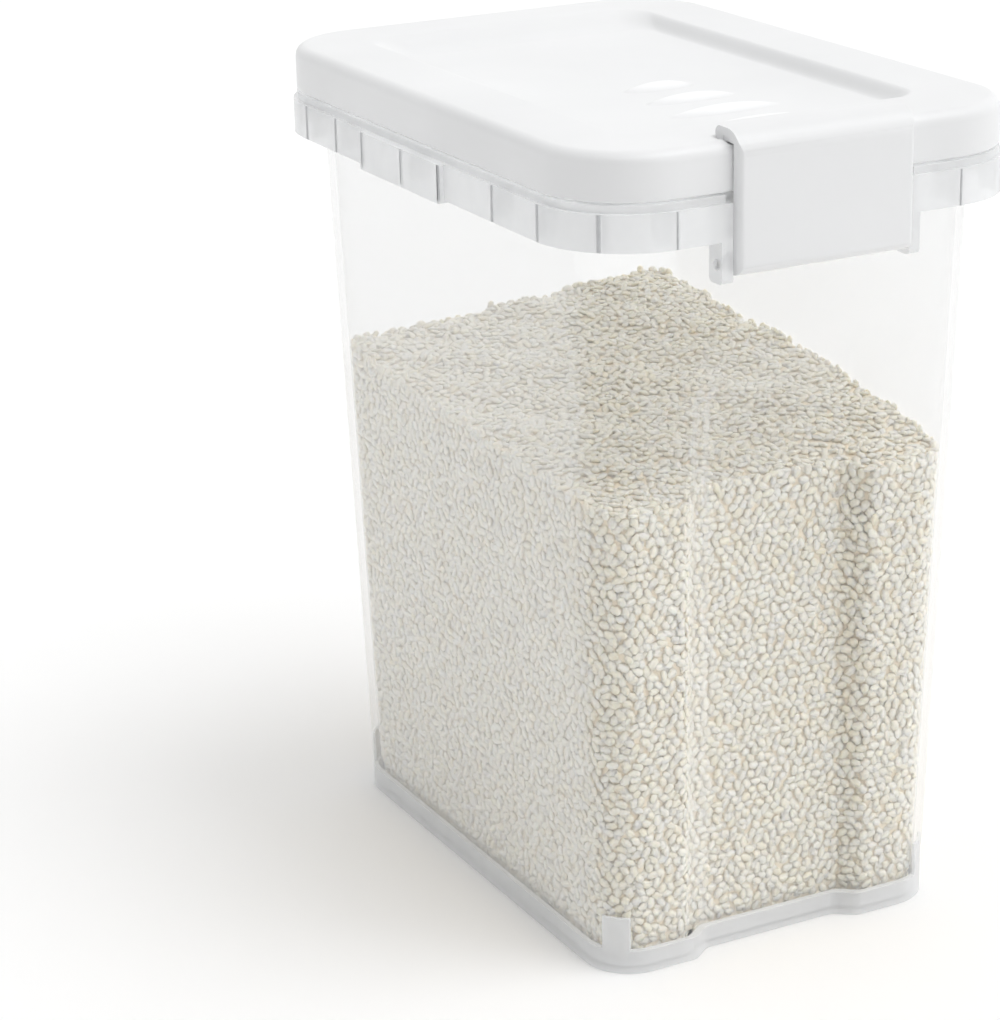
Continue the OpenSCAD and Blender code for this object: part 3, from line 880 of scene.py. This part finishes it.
# the rice rises to the back and the right, is heaped in the far corner and dips at the front
def riceHeight(x, y):
    form = heapForm
    halfX, halfY = form["half"]
    back = y / halfY
    begin, run = form["rightFrom"]
    sideways = form["rightRise"] * (x / halfX) * np.clip((y + begin) / run, 0, 1)
    dip = form["frontDip"] * np.clip((form["dipFrom"][0] - y) / form["dipFrom"][1], 0, 1)
    (heapX, heapY), (spreadX, spreadY) = form["heapAt"], form["heapSpread"]
    heap = form["heap"] * np.exp(-((x - heapX) / spreadX) ** 2 - ((y - heapY) / spreadY) ** 2)
    swell = np.exp(-((y + form["swellAt"][0]) / form["swellAt"][1]) ** 2)
    right = form["rightSwell"] * np.clip(x / halfX, 0, 1) * swell
    broad, fine = form["waves"]
    (broadX, broadY), (fineX, fineY) = form["broadTurns"], form["fineTurns"]
    waves = broad * np.sin(x * broadX + form["waveStart"]) * np.cos(y * broadY)
    waves = waves + fine * np.sin(x * fineX + y * fineY)
    return form["level"] + form["backRise"] * back + sideways - dip + heap + right + waves


def footInset(height):
    share = np.clip((wallForm["taperFrom"] - height) / wallForm["taperRun"], 0, 1)
    return wallForm["footTaper"] * float(share)


# the same closed outline with its points at even distances
def evenSteps(outline, count):
    closed = np.concatenate([outline, outline[:1]])
    run = np.concatenate([[0], np.cumsum(np.linalg.norm(np.diff(closed, axis=0), axis=1))])
    at = np.linspace(0, run[-1], count, endpoint=False)
    return np.column_stack([np.interp(at, run, closed[:, k]) for k in (0, 1)])


def riceBed():
    form = riceForm
    inset = wallForm["wall"] + form["wallGap"] + form["bedDepth"]
    rings = []
    count = form["bedPoints"]
    for height in np.linspace(form["low"] + form["bedFrom"], form["bedTo"], 9):
        outline = wallOutline(max(height, wallForm["trayTop"]), inset)
        rings.append(atHeight(evenSteps(outline, count), height))
    outline = evenSteps(wallOutline(form["topOutline"], inset), count)
    for share in list(np.linspace(0, 0.96, 49)) + [0.98, 0.995]:
        across = outline * (1 - share)
        rings.append(np.column_stack([across, riceHeight(across[:, 0], across[:, 1]) - form["bedDepth"]]))
    return ringsToMesh("riceBed", rings, form["bedSharpDegrees"])


grainForm = {"around": 6, "girths": ((-0.62, 0.78), (0.05, 1.0), (0.68, 0.72))}    # place along it, and size


# points and triangles of one grain of unit half size
def grainTemplate():
    around = grainForm["around"]
    points, faces = [(-1, 0, 0)], []
    for along, girth in grainForm["girths"]:
        for k in range(around):
            angle = 2 * math.pi * (k + along) / around
            points.append((along, girth * math.cos(angle), girth * math.sin(angle)))
    points.append((1, 0, 0))
    last = len(points) - 1
    for k in range(around):
        ahead = (k + 1) % around
        faces.append((0, 1 + ahead, 1 + k))
        faces.append((last, last - around + k, last - around + ahead))
        for row in (0, 1):
            a, b = 1 + row * around + k, 1 + row * around + ahead
            c, d = b + around, a + around
            faces += [(a, b, c), (a, c, d)]
    return np.array(points), np.array(faces)


# all grains of one side, each turned at random in the surface it lies in
def grainsPiece(name, centres, normals, tilt):
    template, triangles = grainTemplate()
    count = len(centres)
    normals = normals + tilt * dice.normal(size=(count, 3))
    normals /= np.linalg.norm(normals, axis=1)[:, None]
    free = dice.normal(size=(count, 3))
    along = np.cross(normals, free)
    along /= np.linalg.norm(along, axis=1)[:, None]
    across = np.cross(normals, along)
    vary = riceForm["spread"] * dice.normal(size=(count, 3)).clip(-2, 2)
    size = np.array(riceForm["grain"]) / 2 * (1 + vary)
    local = template[None] * size[:, None, :]
    points = (centres[:, None] + local[..., :1] * along[:, None] + local[..., 1:2] * across[:, None]
              + local[..., 2:] * normals[:, None])
    faces = (triangles[None] + (np.arange(count) * len(template))[:, None, None]).reshape(-1, 3)
    mesh = bpy.data.meshes.new(name)
    mesh.vertices.add(count * len(template))
    mesh.vertices.foreach_set("co", points.reshape(-1))
    mesh.loops.add(faces.size)
    mesh.loops.foreach_set("vertex_index", faces.reshape(-1).astype(np.int32))
    mesh.polygons.add(len(faces))
    mesh.polygons.foreach_set("loop_start", np.arange(0, faces.size, 3, dtype=np.int32))
    mesh.update(calc_edges=True)
    mesh.validate()
    mesh.polygons.foreach_set("use_smooth", np.ones(len(faces), bool))
    tone = mesh.attributes.new("grainTone", "FLOAT", "POINT")
    shade = np.repeat(dice.beta(1.6, 3.0, count), len(template))
    tone.data.foreach_set("value", shade.astype(np.float32))
    piece = bpy.data.objects.new(name, mesh)
    bpy.context.scene.collection.objects.link(piece)
    print(name, count, "grains")
    return piece


# places against the wall, row by row, as (point, outward normal)
def wallGrains(pitch, depth, loose):
    form = riceForm
    places, normals = [], []
    jitter = form["jitter"]
    for row, height in enumerate(np.arange(form["low"] + form["firstRow"], form["rowsTo"], pitch[0])):
        inset = wallForm["wall"] + footInset(height) + form["wallGap"] + form["grain"][2] / 2 + depth
        outline = wallOutline(max(height, wallForm["trayTop"]), inset, 0, 10, 8)
        ahead = np.roll(outline, -1, axis=0)
        lengths = np.linalg.norm(ahead - outline, axis=1)
        run = np.concatenate([[0], np.cumsum(lengths)])
        count = int(run[-1] / pitch[1])
        start = np.arange(count) + 0.25 + 0.5 * (row % 2)
        at = (start + dice.uniform(-jitter, jitter, count)) * run[-1] / count % run[-1]
        k = np.clip(np.searchsorted(run, at, side="right") - 1, 0, len(outline) - 1)
        share = ((at - run[k]) / lengths[k])[:, None]
        point = outline[k] + (ahead[k] - outline[k]) * share
        tangent = (ahead[k] - outline[k]) / lengths[k][:, None]
        outward = np.column_stack([tangent[:, 1], -tangent[:, 0], np.zeros(count)])
        place = np.column_stack([point, height + dice.uniform(-jitter, jitter, count) * pitch[0]])
        place -= outward * dice.uniform(0, loose, (count, 1))
        keep = place[:, 2] < riceHeight(point[:, 0], point[:, 1]) - form["underTop"]
        places.append(place[keep])
        normals.append(outward[keep])
    return np.concatenate(places), np.concatenate(normals)


# places on the rice's upper surface
def surfaceGrains(pitch, depth, loose):
    form = riceForm
    inset = wallForm["wall"] + form["wallGap"] + form["topInset"]
    places = []
    jitter, fullHalf = form["topJitter"], wallHalf(form["topOutline"])
    halfX, halfY = fullHalf - Vector((inset, inset))
    radius = wallForm["corner"] - inset
    for row, x in enumerate(np.arange(-halfX, halfX, pitch[0])):
        y = np.arange(-halfY, halfY, pitch[1]) + pitch[1] / 2 * (row % 2)
        px = x + dice.uniform(-jitter, jitter, len(y)) * pitch[0]
        py = y + dice.uniform(-jitter, jitter, len(y)) * pitch[1]
        overX = np.clip(np.abs(px) - (halfX - radius), 0, None)
        overY = np.clip(np.abs(py) - (halfY - radius), 0, None)
        dentEdge = np.clip((np.abs(px) - wallForm["dentFloor"] - inset) / wallForm["dentStep"], 0, 1)
        dent = (fullHalf.y - footHalf.y + wallForm["dentDepth"]) * ease(1 - dentEdge)
        inside = (np.hypot(overX, overY) < radius) & (py > dent - halfY) & (py < halfY)
        pz = riceHeight(px, py) - form["grain"][2] / 2 - depth - dice.uniform(0, loose, len(y))
        places.append(np.column_stack([px, py, pz])[inside])
    places = np.concatenate(places)
    return places, np.tile([0.0, 0.0, 1.0], (len(places), 1))


def bothLayers(makePlaces):
    form = riceForm
    front = makePlaces(form["frontPitch"], 0, form["loose"][0])
    back = makePlaces(form["backPitch"], form["backDepth"], form["loose"][1])
    return [np.concatenate(pair) for pair in zip(front, back)]


rice = riceFinish()
dress(riceBed(), "bin", riceBedFinish())
wallPlaces, wallNormals = bothLayers(wallGrains)
facing = {
    "riceFront": wallNormals[:, 1] < -0.7,
    "riceBack": wallNormals[:, 1] > 0.7,
    "riceLeft": (wallNormals[:, 0] < 0) & (np.abs(wallNormals[:, 1]) <= 0.7),
    "riceRight": (wallNormals[:, 0] > 0) & (np.abs(wallNormals[:, 1]) <= 0.7),
}
for name, chosen in facing.items():
    grains = grainsPiece(name, wallPlaces[chosen], wallNormals[chosen], riceForm["wallTilt"])
    dress(grains, "bin", rice)
dress(grainsPiece("riceTop", *bothLayers(surfaceGrains), riceForm["topTilt"]), "bin", rice)
print("rice done")


studio = {
    "floorHalf": 9.0,
    "floorDrop": 0.0002,
    "floorShade": (0.97, 0.97, 0.97),
    "floorGlow": 0.02,          # how much of the floor shows as plain white to the camera
    "sky": 0.815,
    "dimSide": (-0.60, -0.80, 0.0),   # the sky is darker on this side
    "dimFrom": 0.34,
    "dimShare": 0.88,
    "softbox": (0.05, -0.55, 0.83),   # and brighter in a disc about here, from this cosine
    "softboxFrom": 0.88,
    "softboxGain": 2.4,
    "sun": 0.74,
    "sunSoftness": 34,          # degrees
    "sunFrom": (0.62, -0.42, 1.0),
}


# 1 for rays that go to the camera, or to it by way of gloss or clear plastic
def readsAsBackground(nodes, links):
    path = nodes.new("ShaderNodeLightPath")
    total = path.outputs["Is Camera Ray"]
    for word in ("Is Glossy Ray", "Is Transmission Ray"):
        total = addMath(nodes, links, "MAXIMUM", total, path.outputs[word])
    return total


def makeFloor():
    half = studio["floorHalf"]
    corners = [(-half, -half), (half, -half), (half, half), (-half, half)]
    floor = pieceFrom("studioFloor", [(x, y, -studio["floorDrop"]) for x, y in corners], [(0, 1, 2, 3)])
    material, nodes, links, shader = newMaterial("studio floor")
    shader.inputs["Base Color"].default_value = (*studio["floorShade"], 1)
    shader.inputs["Roughness"].default_value = 0.9
    shader.inputs["Specular IOR Level"].default_value = 0.0
    glow = nodes.new("ShaderNodeEmission")
    share = addMath(nodes, links, "MULTIPLY", readsAsBackground(nodes, links), studio["floorGlow"])
    mixShaders(material, share, shader.outputs["BSDF"], glow.outputs["Emission"])
    floor.data.materials.append(material)


def makeSky():
    world = bpy.data.worlds.new("studio")
    bpy.context.scene.world = world
    world.use_nodes = True
    nodes, links = world.node_tree.nodes, world.node_tree.links
    spread = nodes.new("ShaderNodeMapRange")
    spread.inputs["To Min"].default_value = studio["sky"]
    spread.inputs["To Max"].default_value = 1.0
    links.new(readsAsBackground(nodes, links), spread.inputs["Value"])
    place = nodes.new("ShaderNodeTexCoord")

    # how strong the sky is about one direction, as a share of the rest
    def skyPatch(direction, begin, strength):
        towards = nodes.new("ShaderNodeVectorMath")
        towards.operation = "DOT_PRODUCT"
        towards.inputs[1].default_value = direction
        links.new(place.outputs["Generated"], towards.inputs[0])
        patch = nodes.new("ShaderNodeMapRange")
        patch.interpolation_type = "SMOOTHSTEP"
        patch.inputs["From Min"].default_value = begin
        patch.inputs["To Min"].default_value = 1.0
        patch.inputs["To Max"].default_value = strength
        links.new(towards.outputs["Value"], patch.inputs["Value"])
        return patch.outputs["Result"]

    dim = skyPatch(studio["dimSide"], studio["dimFrom"], 1 - studio["dimShare"])
    bright = skyPatch(studio["softbox"], studio["softboxFrom"], 1 + studio["softboxGain"])
    path = nodes.new("ShaderNodeLightPath")
    level = nodes.new("ShaderNodeMix")      # the camera sees it plain
    links.new(path.outputs["Is Camera Ray"], level.inputs["Factor"])
    links.new(addMath(nodes, links, "MULTIPLY", dim, bright), level.inputs["A"])
    level.inputs["B"].default_value = 1.0
    strength = addMath(nodes, links, "MULTIPLY", spread.outputs["Result"], level.outputs["Result"])
    links.new(strength, nodes["Background"].inputs["Strength"])
    nodes["Background"].inputs["Color"].default_value = (1, 1, 1, 1)


def makeSun():
    lamp = bpy.data.lights.new("key", "SUN")
    lamp.energy = studio["sun"]
    lamp.angle = math.radians(studio["sunSoftness"])
    holder = bpy.data.objects.new("key", lamp)
    bpy.context.scene.collection.objects.link(holder)
    holder.rotation_mode = "QUATERNION"
    holder.rotation_quaternion = Vector(studio["sunFrom"]).to_track_quat("Z", "Y")


cameraForm = {
    "azimuth": -27.327,         # degrees round from the latch's side
    "elevation": 19.443,
    "roll": -1.254,
    "distance": 1.2312,
    "aim": (0, 0, 0.15),
    "slide": (-0.0531, -0.0085),  # sideways and up, from the aim
    "lens": 109.14,
}


def makeCamera():
    turn, lift, roll = (math.radians(cameraForm[k]) for k in ("azimuth", "elevation", "roll"))
    back = Vector((math.sin(turn) * math.cos(lift), -math.cos(turn) * math.cos(lift), math.sin(lift)))
    level = Vector((0, 0, 1)).cross(back).normalized()
    upright = back.cross(level)
    right = math.cos(roll) * level + math.sin(roll) * upright
    up = math.cos(roll) * upright - math.sin(roll) * level
    place = Vector(cameraForm["aim"]) + back * cameraForm["distance"]
    place += right * cameraForm["slide"][0] + up * cameraForm["slide"][1]
    lens = bpy.data.cameras.new("camera")
    lens.lens = cameraForm["lens"]
    lens.clip_start, lens.clip_end = 0.05, 50
    holder = bpy.data.objects.new("camera", lens)
    bpy.context.scene.collection.objects.link(holder)
    turned = Matrix((right, up, back)).transposed().to_4x4()
    holder.matrix_world = Matrix.Translation(place) @ turned
    bpy.context.scene.camera = holder


makeFloor()
makeSky()
makeSun()
makeCamera()
bpy.context.scene.view_settings.view_transform = "Standard"
print("studio ready")
